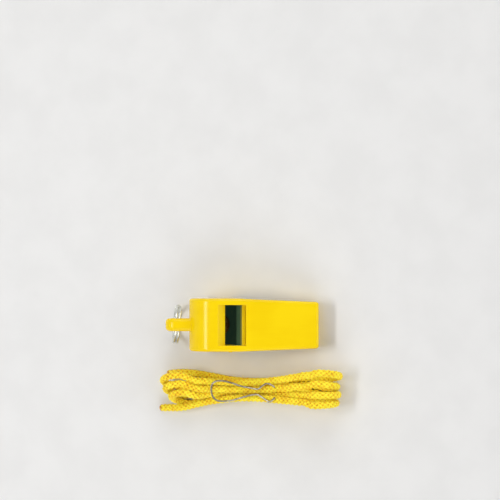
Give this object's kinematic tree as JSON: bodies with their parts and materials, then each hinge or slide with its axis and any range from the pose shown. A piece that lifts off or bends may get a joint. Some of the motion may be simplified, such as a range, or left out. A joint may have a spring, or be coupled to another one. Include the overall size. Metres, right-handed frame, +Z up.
{
  "type": "training whistle with lanyard",
  "caption": "Moulded plastic pea whistle with a split ring through its lug, and a folded cord lanyard with a spring wire hook lying beside it.",
  "frame": {"origin": "on the table, under the middle of the whistle's box; the cord and hook are left out of that box", "axes": "+Z up from the table, +X towards the mouthpiece, +Y across the whistle, away from the lanyard"},
  "size_m": [0.077, 0.0449, 0.0206],
  "materials": {
    "yellow_plastic": "satin",
    "cork": "matte",
    "ring_steel": "polished",
    "braided_cord": "matte",
    "hook_wire": "drawn"
  },
  "bodies": {
    "whistle": {"whistle_body": "yellow_plastic", "chamber_cap": "yellow_plastic"},
    "pea": {"pea": "cork"},
    "ring": {"split_ring": "ring_steel"},
    "lanyard": {"lanyard_hank": "braided_cord"},
    "hook": {"wire_hook": "hook_wire"}
  },
  "joints": [
    {"name": "pea_orbit", "type": "hinge", "parent": "whistle", "child": "pea", "pos_m": [-0.01, 0, 0.0103], "axis": [0, 1, 0], "continuous": true},
    {"name": "ring_swing", "type": "hinge", "parent": "whistle", "child": "ring", "pos_m": [-0.02493, 0, 0.01482], "axis": [0, 1, 0], "range_deg": [0, 205]},
    {"name": "lanyard_lift", "type": "slide", "parent": "whistle", "child": "lanyard", "axis": [0, 0, 1], "range_m": [0, 0.06]},
    {"name": "hook_lift", "type": "slide", "parent": "lanyard", "child": "hook", "axis": [0, 0, 1], "range_m": [0, 0.03]}
  ]
}
